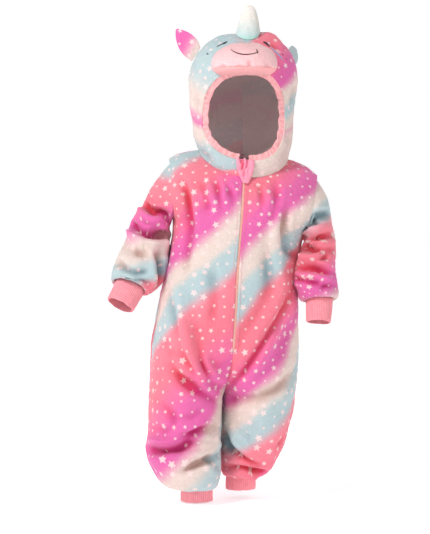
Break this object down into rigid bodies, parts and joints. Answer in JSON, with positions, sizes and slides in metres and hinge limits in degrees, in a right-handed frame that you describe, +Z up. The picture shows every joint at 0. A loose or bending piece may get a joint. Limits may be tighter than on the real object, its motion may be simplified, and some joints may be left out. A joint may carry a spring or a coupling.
{
  "type": "hooded toddler costume onesie",
  "caption": "Hooded plush unicorn onesie for a toddler, worn and hollow, with a zip front, rib cuffs, an open face, and a stuffed muzzle, horn and ears.",
  "frame": {"origin": "between the wearer's shoulders, where the garment rests on them", "axes": "+X is the wearer's left, the front faces -Y, +Z is up, from the feet to the horn"},
  "size_m": [0.4052, 0.2269, 0.8701],
  "materials": {
    "plush": "short-pile plush fleece printed with soft diagonal bands of orchid, cream, pale aqua and coral, and small white stars",
    "rib_knit": "ribbed knit, salmon pink",
    "facing_knit": "smooth gathered knit, salmon pink",
    "muzzle_plush": "short-pile plush, pale pink, stuffed",
    "horn_cloth": "short-pile plush, off-white with mint, stuffed",
    "zip": "woven tape with a nylon coil, closed"
  },
  "bodies": {
    "root": {"ankle_cuff_left": "rib_knit", "ankle_cuff_right": "rib_knit", "back_left": "plush", "back_right": "plush", "chin_tab": "plush", "ear_left": "plush", "ear_right": "plush", "front_left": "plush", "front_right": "plush", "hood_facing": "facing_knit", "hood_left": "plush", "hood_right": "plush", "horn": "horn_cloth", "muzzle": "muzzle_plush", "muzzle_lip": "muzzle_plush", "sleeve_left": "plush", "sleeve_right": "plush", "wrist_cuff_left": "rib_knit", "wrist_cuff_right": "rib_knit", "zip": "zip"}
  },
  "joints": []
}
